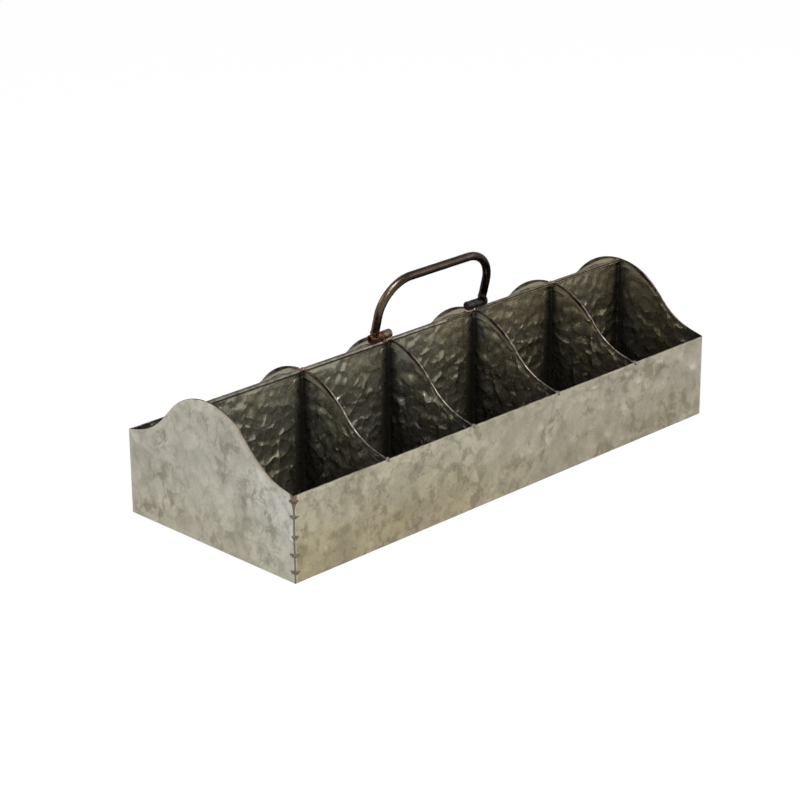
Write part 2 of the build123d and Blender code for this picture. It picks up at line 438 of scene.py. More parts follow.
# Materials
class Graph:
    """A material's nodes, added one call at a time. Shares, values and colours are numbers or sockets."""

    def __init__(self, name, metallic=1.0):
        self.material = bpy.data.materials.new(name)
        self.material.use_nodes = True
        self.tree = self.material.node_tree
        self.shader = self.tree.nodes["Principled BSDF"]
        self.shader.inputs["Metallic"].default_value = metallic
        self.place = self.node("TexCoord").outputs["Object"]

    def put(self, socket, value):
        """Links a socket, or sets a number, a vector or a colour."""
        if isinstance(value, bpy.types.NodeSocket):
            self.tree.links.new(value, socket)
        else:
            socket.default_value = (*value, 1) if socket.type == "RGBA" else value

    def node(self, kind, inputs=None, **settings):
        node = self.tree.nodes.new("ShaderNode" + kind)
        for key, value in settings.items():
            setattr(node, key, value)
        for key, value in (inputs or {}).items():
            self.put(node.inputs[key], value)
        return node

    def math(self, operation, *values):
        return self.node("Math", dict(enumerate(values)), operation=operation).outputs[0]

    def product(self, *values):
        return functools.reduce(lambda a, b: self.math("MULTIPLY", a, b), values)

    def vector(self, scale=(1, 1, 1), turn=(0, 0, 0), shift=(0, 0, 0)):
        inputs = {"Vector": self.place, "Scale": scale, "Rotation": turn, "Location": shift}
        return self.node("Mapping", inputs).outputs[0]

    def kept(self, name):
        """A value kept on the points of the mesh."""
        return self.node("Attribute", attribute_name=name).outputs["Fac"]

    def noise(self, size, detail=3, roughness=0.55, distortion=0, vector=None):
        inputs = {"Vector": vector or self.place, "Scale": 1 / size, "Detail": detail}
        inputs.update({"Roughness": roughness, "Distortion": distortion})
        return self.node("TexNoise", inputs).outputs[0]

    def between(self, value, low, high, start=0.0, end=1.0):
        """value mapped from low and high to start and end, smoothly and clamped."""
        inputs = {"Value": value, "From Min": low, "From Max": high, "To Min": start, "To Max": end}
        return self.node("MapRange", inputs, interpolation_type="SMOOTHSTEP").outputs[0]

    def patches(self, size, low, high, start=0.0, end=1.0, **settings):
        """Noise of that size, mapped from low and high to start and end."""
        return self.between(self.noise(size, **settings), low, high, start, end)

    def axis(self, name):
        return self.node("SeparateXYZ", {0: self.place}).outputs[name]

    def ramp(self, axis, low, high, start=0.0, end=1.0):
        """A value that follows one coordinate."""
        return self.between(self.axis(axis), low, high, start, end)

    def away(self, axis, low, high):
        """A value that follows the distance from the middle along one axis."""
        return self.between(self.math("ABSOLUTE", self.axis(axis)), low, high)

    def mixed(self, share, a, b, blend="MIX"):
        node = self.node("Mix", {"Factor": share}, data_type="RGBA", blend_type=blend)
        colour_sockets = [socket for socket in node.inputs if socket.type == "RGBA"]
        for socket, colour in zip(colour_sockets, (a, b)):
            self.put(socket, colour)
        return next(socket for socket in node.outputs if socket.type == "RGBA")

    def tinted(self, share, colour, tint):
        """A colour multiplied by a tint, by a share of the tint's effect."""
        return self.mixed(share, colour, tint, "MULTIPLY")

    def grey(self, value):
        return self.node("CombineXYZ", {0: value, 1: value, 2: value}).outputs[0]

    def bump(self, height, distance, strength=1.0):
        inputs = {"Strength": strength, "Distance": distance, "Height": height}
        self.put(self.shader.inputs["Normal"], self.node("Bump", inputs).outputs[0])

    def dimples(self, size, depth, strength=1.0):
        """Bumps for shallow round dimples with creases between them, and a fine grain."""
        grain = 0.05 * MM
        grain_size = 1.8 * MM
        wander = self.product(self.noise(size * 1.5, detail=1), size * 0.8)
        wandering = self.node("VectorMath", {0: self.place, 1: wander}, operation="ADD").outputs[0]
        cells = self.node("TexVoronoi", {"Vector": wandering, "Scale": 1 / (size * 1.6)}).outputs["Distance"]
        bowls = self.product(cells, cells, depth / grain * 2)
        self.bump(self.math("ADD", bowls, self.noise(grain_size, detail=4)), grain, strength)

    def colour(self, value):
        self.put(self.shader.inputs["Base Color"], value)

    def roughness(self, size, low, high, detail=3):
        """Roughness between low and high, in patches of that size."""
        self.put(self.shader.inputs["Roughness"], self.patches(size, 0.3, 0.7, low, high, detail=detail))

    def grain(self, size, depth, detail=4):
        self.bump(self.noise(size, detail=detail), depth)


def mottled_zinc(graph, tilted, end_panel):
    """Pale and dull patches of zinc, softer and greyer on the end panels."""
    pale = (0.535, 0.51, 0.415)
    dimmer = (0.42, 0.40, 0.32)
    wall_tint = (0.90, 0.88, 0.845)
    end_tint = (1.0, 1.01, 1.04)
    soft_share = graph.product(end_panel, 0.6)
    crisp = graph.noise(30 * MM, detail=6, roughness=0.66, distortion=0.2, vector=tilted)
    soft = graph.noise(38 * MM, detail=3, roughness=0.5, distortion=0.4, vector=tilted)
    crisp = graph.product(crisp, graph.math("SUBTRACT", 1, soft_share))
    mottle = graph.math("ADD", crisp, graph.product(soft, soft_share))
    colour = graph.mixed(graph.between(mottle, 0.36, 0.64), pale, dimmer)
    return graph.tinted(1.0, colour, graph.mixed(end_panel, wall_tint, end_tint))


def outside_zinc():
    """Dull, mottled galvanised zinc: painted shade round its hammer marks, painted highlights on their
    ridges, darker lines in its creases, brown at the welded corners, yellower low down.
    """
    bright_end_tint = (1.14, 1.16, 1.24)
    low_tint = (0.86, 0.81, 0.70)
    west_tint = (0.905, 0.86, 0.735)
    east_tint = (0.85, 0.835, 0.83)
    stain_tint = (0.50, 0.48, 0.42)
    border_shade = (0.62, 0.60, 0.57)
    ridge_highlight = (1.17, 1.15, 1.13)
    crease_line_tone = (0.225, 0.21, 0.17)
    speckle_dirt = (0.20, 0.185, 0.14)
    edge_rust = (0.20, 0.145, 0.075)
    seam_rust = (0.12, 0.09, 0.055)

    graph = Graph("zinc_outside", metallic=0.35)
    tilted = graph.vector(scale=(1.05, 1.05, 0.95), turn=(0.3, -0.35, 0.2))
    end_panel = graph.away("X", half_length - 3 * MM, half_length - 1 * MM)
    west = graph.ramp("X", 60 * MM, -120 * MM)
    east = graph.ramp("X", -60 * MM, 60 * MM)
    wall_west = graph.product(west, graph.math("SUBTRACT", 1, end_panel))
    colour = mottled_zinc(graph, tilted, end_panel)

    # Slow changes of tone along and up the sheets
    near_front = graph.ramp("Y", -30 * MM, -half_width)
    colour = graph.tinted(graph.product(end_panel, near_front), colour, bright_end_tint)
    colour = graph.tinted(graph.ramp("Z", 60 * MM, 5 * MM, 0, 0.6), colour, low_tint)
    west_low = graph.ramp("Z", 75 * MM, 20 * MM, 0.3, 1.0)
    colour = graph.tinted(graph.product(wall_west, west_low), colour, west_tint)

    # Stains
    stains = graph.patches(13 * MM, 0.48, 0.60, detail=6, roughness=0.68, distortion=0.3, vector=tilted)
    stained_parts = graph.vector(shift=(0.07, 0.02, 0.05))
    where = graph.patches(60 * MM, 0.35, 0.62, 0.1, 0.7, detail=1, vector=stained_parts)
    where = graph.math("MAXIMUM", where, graph.product(wall_west, 0.5))
    colour = graph.tinted(graph.product(stains, where), colour, stain_tint)

    # Painted shade on the borders of the hammer marks, a painted highlight on their ridges on the right, and
    # darker broken lines along their creases
    crease = graph.kept("crease")
    border = graph.product(graph.math("POWER", crease, 0.4), graph.math("MULTIPLY_ADD", east, -0.25, 0.30))
    colour = graph.tinted(border, colour, border_shade)
    ridge = graph.product(graph.between(crease, 0.1, 0.6), east, 0.4)
    colour = graph.tinted(ridge, colour, ridge_highlight)
    broken = graph.patches(16 * MM, 0.4, 0.62, 0.1, 0.7)
    clean = graph.math("MULTIPLY_ADD", graph.math("MAXIMUM", end_panel, east), -0.3, 1)
    lines = graph.product(graph.between(crease, 0.25, 0.95), broken, clean)
    colour = graph.mixed(lines, colour, crease_line_tone)

    # Speckles in clusters
    speckle = graph.patches(7 * MM, 0.50, 0.66, detail=5, roughness=0.72, distortion=0.4)
    clusters = graph.patches(26 * MM, 0.42, 0.60, detail=2, vector=graph.vector(shift=(0.3, 0, 0.1)))
    clusters = graph.product(clusters, graph.math("MULTIPLY_ADD", wall_west, 0.75, 0.15))
    colour = graph.mixed(graph.product(speckle, clusters), colour, speckle_dirt)
    colour = graph.tinted(graph.product(east, 0.85), colour, east_tint)

    # Rust along the rim and the welded seams
    shoulder = graph.product(end_panel, graph.ramp("Y", -5 * MM, -22 * MM))
    patchy = graph.patches(12 * MM, 0.36, 0.6, 0.35, 1.0)
    colour = graph.mixed(graph.product(graph.kept("edge"), shoulder, patchy), colour, edge_rust)
    colour = graph.tinted(1.0, colour, graph.grey(graph.patches(1.6 * MM, 0.35, 0.65, 0.94, 1.05)))
    graph.colour(graph.mixed(graph.product(seam_share(graph), 0.85), colour, seam_rust))
    graph.roughness(14 * MM, 0.4, 0.55, detail=4)
    graph.dimples(12 * MM, 0.9 * MM)
    return graph.material


def seam_share(graph):
    """1 in a thin brown line up the two welded corners, where x and y have the same sign."""
    line_width = 0.9 * MM
    blur = 0.6 * MM
    wander = graph.product(graph.noise(5 * MM, detail=2), 1.2 * MM)
    widening = graph.ramp("Z", wall_top - 15 * MM, wall_top - 3 * MM, 0, 2.6 * MM)
    wander = graph.math("ADD", wander, widening)
    share = graph.between(graph.product(graph.axis("X"), graph.axis("Y")), 0, 0.001)
    for axis, reach in (("X", half_length), ("Y", half_width)):
        place = graph.math("ADD", graph.math("ABSOLUTE", graph.axis(axis)), wander)
        share = graph.product(share, graph.between(place, reach - line_width, reach - line_width + blur))
    return share


def bright_zinc(name, dimpled):
    """Shiny sheet inside the compartments: cool grey, pale brass and brown, with painted shade low down and
    in the corners.
    """
    west_tones = ((0.51, 0.475, 0.34), (0.51, 0.49, 0.385))
    east_tones = ((0.50, 0.435, 0.275), (0.49, 0.45, 0.32))
    brown_stain = (0.37, 0.315, 0.215)
    cool_grey = (0.44, 0.455, 0.445)
    shade_black = (0.035, 0.033, 0.028)

    graph = Graph(name, metallic=0.85)
    tone = graph.patches(24 * MM, 0.38, 0.6, detail=4, roughness=0.6)
    along = graph.ramp("X", -100 * MM, 150 * MM)
    colour = graph.mixed(along, graph.mixed(tone, *west_tones), graph.mixed(tone, *east_tones))
    stain = graph.patches(14 * MM, 0.5, 0.68, 0, 0.6, detail=4, vector=graph.vector(shift=(0.2, 0.1, 0.3)))
    colour = graph.mixed(stain, colour, brown_stain)
    near_spine = graph.product(graph.ramp("Y", -2 * MM, -5 * MM), graph.away("Y", 45 * MM, 12 * MM))
    cool = graph.math("MAXIMUM", near_spine, graph.away("Y", 72 * MM, 90 * MM))
    bluish = graph.patches(45 * MM, 0.4, 0.6, 0.1, 0.8, detail=1, vector=graph.vector(shift=(0.1, 0.4, 0)))
    colour = graph.mixed(graph.product(cool, bluish), colour, cool_grey)
    # Painted shade kept on the points darkens the sheet low down, in the corners and under the rolled edge
    graph.colour(graph.mixed(graph.kept("painted_shade"), colour, shade_black))
    graph.roughness(6 * MM, 0.18, 0.30, detail=4)
    if dimpled:
        strength = graph.ramp("Z", 0.9 * bead_height, 0.6 * bead_height, 0.2, 1.0)
        graph.dimples(6 * MM, 1.4 * MM, strength)
    return graph.material


def rim_metal(name, dark, light):
    graph = Graph(name)
    graph.colour(graph.mixed(graph.patches(7 * MM, 0.35, 0.65, detail=4), dark, light))
    graph.roughness(3 * MM, 0.25, 0.45)
    graph.grain(1.2 * MM, 0.05 * MM, detail=3)
    return graph.material


def divider_rim():
    """Brown steel rim, with a lighter painted highlight on the hollow flanks of the dividers."""
    crown_tones = ((0.035, 0.027, 0.022), (0.13, 0.10, 0.075))
    flank_highlight_tones = ((0.075, 0.063, 0.053), (0.27, 0.232, 0.20))
    graph = Graph("rim_brown")
    wear = graph.patches(7 * MM, 0.35, 0.65, detail=4)
    inner = graph.away("X", half_length - 3 * MM, half_length - 8 * MM)
    # Painted highlight: the lower, hollow flanks of the dividers' rims are lighter
    lower = graph.product(graph.ramp("Z", 122 * MM, 104 * MM), inner)
    graph.colour(graph.mixed(lower, graph.mixed(wear, *crown_tones), graph.mixed(wear, *flank_highlight_tones)))
    graph.roughness(3 * MM, 0.25, 0.45)
    graph.grain(1.2 * MM, 0.05 * MM, detail=3)
    return graph.material


def bead_metal():
    """Greyish brown on the left, and on the right brown above the seam and a pale gold painted highlight
    below it.
    """
    left_tones = ((0.09, 0.08, 0.064), (0.18, 0.162, 0.132))
    upper_tones = ((0.10, 0.086, 0.064), (0.19, 0.162, 0.12))
    pale_gold_highlight = ((0.42, 0.36, 0.24), (0.64, 0.54, 0.37))
    graph = Graph("bead_brown", metallic=0.8)
    wear = graph.patches(9 * MM, 0.35, 0.65, detail=4)
    left, upper, lower = (graph.mixed(wear, *tones) for tones in (left_tones, upper_tones, pale_gold_highlight))
    # Painted highlight: below the seam the right of the bead is pale gold
    right = graph.mixed(graph.ramp("Z", bead_height + 0.8 * MM, bead_height), upper, lower)
    graph.colour(graph.mixed(graph.ramp("X", -60 * MM, 120 * MM), left, right))
    graph.roughness(3 * MM, 0.28, 0.45)
    graph.grain(1.2 * MM, 0.05 * MM, detail=3)
    return graph.material


def burnt_weld():
    """Dull grey weld metal, rusty at the top of the corners."""
    dull_tones = ((0.13, 0.115, 0.08), (0.24, 0.22, 0.17))
    rust_tones = ((0.085, 0.06, 0.035), (0.20, 0.14, 0.095))
    graph = Graph("burnt_weld", metallic=0.6)
    scale = graph.patches(1.5 * MM, 0.4, 0.65, detail=4)
    high = graph.ramp("Z", wall_top - 14 * MM, wall_top - 9 * MM)
    rusty = graph.product(high, graph.away("X", half_length - 8 * MM, half_length - 7 * MM))
    graph.colour(graph.mixed(rusty, graph.mixed(scale, *dull_tones), graph.mixed(scale, *rust_tones)))
    graph.roughness(1.0 * MM, 0.4, 0.65)
    graph.grain(0.7 * MM, 0.12 * MM)
    return graph.material


def pink_solder():
    """Pinkish solder, rusty at the left hinge."""
    fresh_tones = ((0.13, 0.075, 0.055), (0.55, 0.42, 0.36))
    rust_tones = ((0.09, 0.04, 0.025), (0.30, 0.14, 0.08))
    graph = Graph("pink_solder", metallic=0.9)
    tone = graph.patches(2.2 * MM, 0.38, 0.62)
    rusty = graph.ramp("X", -40 * MM, -50 * MM, 0, 0.7)
    graph.colour(graph.mixed(rusty, graph.mixed(tone, *fresh_tones), graph.mixed(tone, *rust_tones)))
    graph.roughness(1.3 * MM, 0.25, 0.5)
    graph.grain(0.9 * MM, 0.12 * MM)
    return graph.material


def bail_bronze():
    """Brown steel: golden on the left leg, reddish at its foot, nearly black on the right leg."""
    golden_tones = ((0.16, 0.125, 0.088), (0.12, 0.088, 0.058))
    dark_tones = ((0.034, 0.024, 0.02), (0.054, 0.039, 0.031))
    red_foot = (0.20, 0.12, 0.075)
    worn_spot = (0.20, 0.15, 0.12)
    graph = Graph("bail_bronze")
    grain = graph.noise(9 * MM, detail=4, vector=graph.vector(scale=(1, 1, 0.35)))
    left = graph.mixed(graph.between(grain, 0.3, 0.7), *golden_tones)
    left = graph.mixed(graph.ramp("Z", 160 * MM, 146 * MM), left, red_foot)
    right = graph.mixed(graph.between(grain, 0.35, 0.65), *dark_tones)
    colour = graph.mixed(graph.ramp("X", -64 * MM, -36 * MM), left, right)
    graph.colour(graph.mixed(graph.patches(2.4 * MM, 0.62, 0.72, 0, 0.3), colour, worn_spot))
    graph.roughness(4 * MM, 0.22, 0.32)
    graph.grain(2.0 * MM, 0.03 * MM)
    return graph.material


def knuckle_metal(name, dark, light):
    graph = Graph(name, metallic=0.9)
    graph.colour(graph.mixed(graph.patches(3 * MM, 0.35, 0.65, detail=4), dark, light))
    graph.roughness(2 * MM, 0.35, 0.55)
    graph.grain(1.3 * MM, 0.12 * MM)
    return graph.material


zinc_outside = outside_zinc()
zinc_inside = bright_zinc("zinc_inside", dimpled=True)
strip_zinc = bright_zinc("zinc_strip", dimpled=False)
rim_brown = divider_rim()
rim_zinc = rim_metal("rim_zinc", (0.10, 0.09, 0.07), (0.24, 0.22, 0.17))
bead_brown = bead_metal()
# Near black for the rolled edge's seam, and as a painted shadow on its underside
bead_seam_and_shadow = rim_metal("bead_seam_and_shadow", (0.02, 0.015, 0.01), (0.05, 0.037, 0.022))
weld = burnt_weld()
solder = pink_solder()
bronze = bail_bronze()
red_knuckle = knuckle_metal("knuckle_red", (0.06, 0.023, 0.015), (0.20, 0.092, 0.055))
olive_knuckle = knuckle_metal("knuckle_olive", (0.085, 0.055, 0.035), (0.21, 0.165, 0.115))
dark_knuckle = knuckle_metal("knuckle_dark", (0.022, 0.019, 0.02), (0.058, 0.05, 0.05))
# Near-black buttons: painted shade, matching the shaded flanges they sit on
dark_button = knuckle_metal("spot_button", (0.035, 0.032, 0.028), (0.07, 0.064, 0.055))
pin_steel = knuckle_metal("pin_steel", (0.02, 0.017, 0.016), (0.05, 0.04, 0.04))


def add(piece, body, slot, *nodes):
    """Sets a piece on its body and hides the nodes that it stands for. slot is not used."""
    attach(piece, body)
    if nodes:
        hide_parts(*nodes)


# Floor sheet, hammered, lying on the flanges of the walls
def floor_piece():
    floor_step = 3.5 * MM
    flat_border = (foot_width, foot_width + 6 * MM)
    flat_seam = (2 * MM, 6 * MM)
    floor_shade = 0.65
    reach_x = inner_length - fit_gap
    reach_y = inner_width - fit_gap
    xs = np.linspace(-reach_x, reach_x, round(2 * reach_x / floor_step))
    ys = np.linspace(-reach_y, reach_y, round(2 * reach_y / floor_step))
    grid = np.stack(np.meshgrid(xs, ys, indexing="ij"), -1).reshape(-1, 2)
    marks, _ = hammer_marks(grid, seed=5, pitch=14 * MM, depth=0.35 * MM)
    edge = np.minimum(reach_x - np.abs(grid[:, 0]), reach_y - np.abs(grid[:, 1]))
    marks = marks * ease(edge, *flat_border) * ease(np.abs(grid[:, 1]), *flat_seam)
    for place in divider_places:
        marks = marks * ease(np.abs(grid[:, 0] - place), *flat_seam)
    low = np.column_stack([grid, floor_low.z + marks])
    high = np.column_stack([grid, floor_top + marks])
    count_x, count_y = len(xs), len(ys)
    index = np.arange(len(grid)).reshape(count_x, count_y)
    faces = []
    for i in range(count_x - 1):
        for j in range(count_y - 1):
            quad = (index[i, j], index[i + 1, j], index[i + 1, j + 1], index[i, j + 1])
            faces.append(tuple(len(grid) + v for v in quad))
            faces.append(quad[::-1])
    border = [*index[:, 0], *index[-1, 1:], *index[-2::-1, -1], *index[0, -2:0:-1]]
    for here, there in zip(border, border[1:] + border[:1]):
        faces.append((here, there, len(grid) + there, len(grid) + here))
    points = np.concatenate([low, high])
    mesh = bpy.data.meshes.new("floor")
    mesh.from_pydata(points, [], faces)
    mesh.materials.append(strip_zinc)
    # The floor gets part of the painted shade
    keep_on_points(mesh, "painted_shade", painted_shade(points) * floor_shade)
    return finished("floor", mesh)


def dents(seed, pitch, depth, wave, upright=False, calm=0.0):
    """Hammer marks over slow bulges. calm is how much shallower they are in its calm patches."""
    calm_size = 60 * MM
    wave_size = 70 * MM

    def dent(places):
        heights, creases = hammer_marks(places, seed, pitch, depth, upright)
        worked = 1 - calm * ease(soft_waves(places, seed + 9, calm_size, 1), -0.5, 0.9)
        return heights * worked + soft_waves(places, seed, wave_size, wave), creases * worked

    return dent


def hem_share(y):
    """The hem of a humped edge is slit where the outline turns from convex to hollow, and ends short of the
    wall."""
    y = np.abs(y)
    slit = ease(np.abs(y - inflection), 0.5 * MM, 4 * MM)
    return slit * ease(half_width - y, hem_stop, hem_stop + 3 * MM)


def rim_band(y):
    """Share of the hem with the rim's finish: more on the flanks of the crown than on its top."""
    rise = hump_height(y - fit_gap) - hump_height(y + fit_gap)
    steepness = np.abs(rise) / (2 * fit_gap)
    near_crown = 1 - ease(np.abs(y), 35 * MM, 50 * MM)
    return rim_band_share + 0.4 * ease(steepness, 0.1, 0.6) * near_crown


# Shells: each is one sheet, folded into a long wall and an end panel
def shell_piece(name, side, seed):
    """side -1 is the front wall with the right end panel, side 1 the back wall with the left one."""
    corner_gap = 2 * MM
    calm_west = 0.36
    middle = Vector((half_length - sheet / 2, half_width - sheet / 2)) * side
    start = (inner_length - fit_gap) * side
    corners = [(start, middle.y), (-middle.x, middle.y), (-middle.x, -half_width * side)]
    path = rounded_path(corners, bend_radius, mesh_step)
    xy, _, lengths = path
    corner_at = lengths[np.argmin(np.abs(xy[:, 0] + middle.x) + np.abs(xy[:, 1] - middle.y))]
    wall = lengths < corner_at
    from_corner = np.abs(lengths - corner_at)
    y = xy[:, 1]
    wall_hem = ease(inner_length - sheet - fit_gap - np.abs(xy[:, 0]), 0, 1 * MM)
    wall_hem = wall_hem * ease(from_corner, corner_gap, 2 * corner_gap)
    end_hem = hem_share(y) * ease(np.abs(y), bead_radius, bead_radius + 1 * MM)
    foot = np.clip(from_corner - corner_gap, bend_radius, foot_width)
    foot = np.where(wall | (lengths[-1] - lengths > foot_width + fit_gap), foot, bend_radius)
    wall_dent = dents(seed, pitch=15 * MM, depth=1.25 * MM, wave=0.30 * MM, upright=True)
    end_dent = dents(seed + 1, pitch=20 * MM, depth=1.1 * MM, wave=0.4 * MM)

    def dent(places):
        along = places[:, 0]
        on_wall = 1 - ease(along, corner_at - 5 * MM, corner_at + 5 * MM)
        worked = calm_west + (1 - calm_west) * ease(along, 0.4 * corner_at, 0.65 * corner_at)
        pairs = zip(wall_dent(places), end_dent(places))
        return [wall_part * on_wall * worked + end_part * (1 - on_wall) for wall_part, end_part in pairs]

    return sheet_piece(
        name, path, np.where(wall, wall_top, hump_height(y)), dent,
        [zinc_outside, rim_brown, zinc_inside, zinc_outside, rim_zinc, zinc_inside],
        hem=np.where(wall, wall_hem, end_hem), foot=foot, other=wall,
        flat_share=1 - ease(from_corner, 1.5 * MM, 6 * MM), limit=shell_dent_limit,
        band=np.where(wall, rim_band_share, rim_band(y)),
    )


# Spine, with a flange against each end panel and its top edge rolled round the wire
inner_finishes = [zinc_inside, rim_brown, zinc_inside, strip_zinc, strip_zinc, strip_zinc]


def spine_sheet_piece():
    ends = inner_length - sheet / 2 - fit_gap
    tip = -(sheet / 2 + spine_flange)
    corners = [(-ends, tip), (-ends, 0), (ends, 0), (ends, tip)]
    path = rounded_path(corners, bend_radius, mesh_step, flip=True)
    x, y = path[0][:, 0], path[0][:, 1]
    flange = y < -sheet
    off_middle = np.abs(y) > 0.01 * MM
    top = np.where(off_middle, flange_top - fit_gap, bead_height - bead_radius / 2)
    flat = np.maximum(flange.astype(float), 1 - ease(ends - np.abs(x), 2 * MM, 8 * MM))
    half_flange = divider_flange / 2
    for place in divider_places:
        beside = np.abs(x - (place - sheet / 2 - half_flange))
        flat = np.maximum(flat, 1 - ease(beside, half_flange + 1 * MM, half_flange + 5 * MM))
    hammered = dents(21, pitch=9 * MM, depth=0.62 * MM, wave=0.4 * MM, calm=0.45)

    def dent(places):
        heights, creases = hammered(places)
        high = ease(places[:, 1], 0.5 * bead_height, 0.9 * bead_height)
        return heights * (1.3 - 0.85 * high), creases

    return sheet_piece(
        "spine_sheet", path, top, dent, inner_finishes, bottom=floor_top, flat_share=flat, other=flange,
    )


def spine_bead_piece():
    """The rolled edge. Its seam is a shallow groove that opens towards the right."""
    groove_angle, groove_depth = math.radians(158), 0.5 * MM
    wobble_length, wobble_height = 14 * MM, 0.12 * MM
    xs = np.linspace(-inner_length + fit_gap, inner_length - fit_gap, 200)
    angles = np.linspace(0, 2 * math.pi, 48, endpoint=False)
    turn = np.abs((angles - groove_angle + math.pi) % (2 * math.pi) - math.pi)
    grooves = groove_depth * (1 - ease(turn, math.radians(4), math.radians(15)))
    wobble = np.array([noise.noise(Vector((x / wobble_length, 0, 3))) for x in xs]) * wobble_height
    open_share = 0.15 + 0.85 * ease(xs, -20 * MM, 90 * MM)
    radii = bead_radius - grooves[:, None] * open_share
    co = np.empty((len(angles), len(xs), 3))
    co[..., 0] = xs
    co[..., 1] = radii * np.cos(angles)[:, None]
    co[..., 2] = bead_height + radii * np.sin(angles)[:, None] + wobble
    # The underside gets the near-black material as a painted shadow, and the groove gets it as a dark seam
    degrees = np.degrees(angles)[:, None]
    underside = (degrees > 224) & (degrees < 325)
    in_groove = (degrees > 142) & (degrees < 166) & (open_share > 0.4)
    slots = (underside | in_groove).astype(int)
    return swept_piece("spine_bead", co, slots, [bead_brown, bead_seam_and_shadow])


# Dividers: hemmed on the left face, with a flange folded against the spine
def divider_piece(name, place, side, seed):
    wall = side * (inner_width - fit_gap)
    near = side * sheet
    tip = place - sheet / 2 - divider_flange
    corners = [(place, wall), (place, near), (tip, near)]
    path = rounded_path(corners, bend_radius, mesh_step * 0.9, flip=side > 0)
    xy = path[0]
    y = np.abs(xy[:, 1])
    on_plate = y > bead_radius + 2 * fit_gap
    inset = flange_corner - np.clip(xy[:, 0] - tip, 0, flange_corner)
    corner = flange_corner - np.sqrt(np.clip(flange_corner**2 - inset**2, 0, None))
    top = np.where(on_plate, hump_height(y), flange_top - corner)
    hem = np.where(on_plate, hem_share(np.minimum(y, half_width - 25 * MM)), 0.0)
    hem = hem * ease(inner_width - sheet - y, 0, 1 * MM)
    flat = np.where(on_plate, 1 - ease(y, 3 * MM, 9 * MM), 1.0)
    if side < 0:
        dent = dents(seed, pitch=11 * MM, depth=1.25 * MM, wave=0.5 * MM, calm=0.6)
    else:
        dent = dents(seed, pitch=14 * MM, depth=0.3 * MM, wave=0.3 * MM)
    return sheet_piece(
        name, path, top, dent, inner_finishes,
        bottom=floor_top, hem=hem, flat_share=flat, other=~on_plate, band=rim_band(y),
    )


# Tubes: the bail and the knuckles
def tube_rings(path, radii, sides, seed, roughness):
    """Rings round a path of centres and directions, as rows of points, with small lumps."""
    lump_size = 3 * MM
    up = Vector((0, 1, 0))
    shift = Vector((seed, seed * 2.3, 0))
    co = np.empty((sides, len(path), 3))
    for column, ((centre, tangent), radius, rough) in enumerate(zip(path, radii, roughness)):
        right = tangent.cross(up).normalized()
        front = right.cross(tangent).normalized()
        for k in range(sides):
            angle = 2 * math.pi * k / sides
            direction = right * math.cos(angle) + front * math.sin(angle)
            lump = noise.noise((centre + direction * radius) / lump_size + shift) * rough
            co[k, column] = centre + direction * (radius + lump)
    return co


def bail_path():
    """Centres and directions along the upright bail, from its left foot to its right foot."""
    leg_steps = 24
    steps = 28
    half = bail_spacing / 2
    straight = bail_height - bail_bend_radius
    rising = []
    for k in range(leg_steps):
        rising.append((Vector((-half, 0, straight * k / leg_steps)), Vector((0, 0, 1))))
    for k in range(steps):
        angle = math.pi / 2 * k / steps
        x = -half + bail_bend_radius * (1 - math.cos(angle))
        z = straight + bail_bend_radius * math.sin(angle)
        rising.append((Vector((x, 0, z)), Vector((math.sin(angle), 0, math.cos(angle)))))
    grip = []
    for k in range(steps + 1):
        x = (half - bail_bend_radius) * (2 * k / steps - 1)
        grip.append((Vector((x, 0, bail_height)), Vector((1, 0, 0))))
    falling = [(Vector((-p.x, 0, p.z)), Vector((t.x, 0, -t.z))) for p, t in reversed(rising)]
    return rising + grip + falling


def bail_piece():
    """The bail, leaning as in the photograph, with a lumpy weld at each foot."""
    flare_width = 0.25 * MM
    skin, foot_lumps = 0.08 * MM, 1.1 * MM
    lean = Matrix.Rotation(bail_lean, 3, "X")
    path = [(point, tangent) for point, tangent in bail_path() if point.z > knuckle_radius * 0.4]
    height = np.array([point.z for point, _ in path]) - knuckle_radius
    flare = ease(height, 0, 1.8 * MM) * (1 - ease(height, 2.5 * MM, 5 * MM))
    leaning = [(hinge_axis + lean @ point, lean @ tangent) for point, tangent in path]
    radii = bail_radius + flare_width * flare
    co = tube_rings(leaning, radii, sides=28, seed=11, roughness=skin + foot_lumps * flare)
    return swept_piece("bail", co, OUTSIDE, [bronze])


def knuckle_piece(name, start, end, material, seed, rough):
    """A short tube along X with rounded lips, its bore and a coarse skin."""
    lip_steps = 5
    body_steps = 14
    sides = 32
    lump_size = 2.2 * MM
    lump_turns = 1.6
    smooth_below = bore_radius + 0.3 * MM
    left = []
    for k in range(lip_steps, -1, -1):
        angle = math.pi / 2 * k / lip_steps
        x = start + knuckle_lip * (1 - math.sin(angle))
        left.append((x, knuckle_radius - knuckle_lip * (1 - math.cos(angle))))
    run = end - start - 2 * knuckle_lip
    body = [(start + knuckle_lip + run * k / body_steps, knuckle_radius) for k in range(1, body_steps)]
    right = [(start + end - x, radius) for x, radius in left[::-1]]
    rings = [(start, bore_radius), *left, *body, *right, (end, bore_radius), (start, bore_radius)]
    co = np.empty((sides, len(rings), 3))
    for column, (x, radius) in enumerate(rings):
        for k in range(sides):
            angle = 2 * math.pi * k / sides
            cos, sin = math.cos(angle), math.sin(angle)
            lump = noise.noise(Vector((x / lump_size, cos * lump_turns + seed, sin * lump_turns))) * rough
            size = radius + (lump if radius > smooth_below else 0)
            co[k, column] = (x, size * cos, hinge_axis.z + size * sin)
    return swept_piece(name, co, OUTSIDE, [material], closed_ends=False)


# Welds
def drop(x, y, z, *radii_mm):
    """A drop of weld metal: its centre and its three radii."""
    return Vector((x, y, z)), [radius * MM for radius in radii_mm]


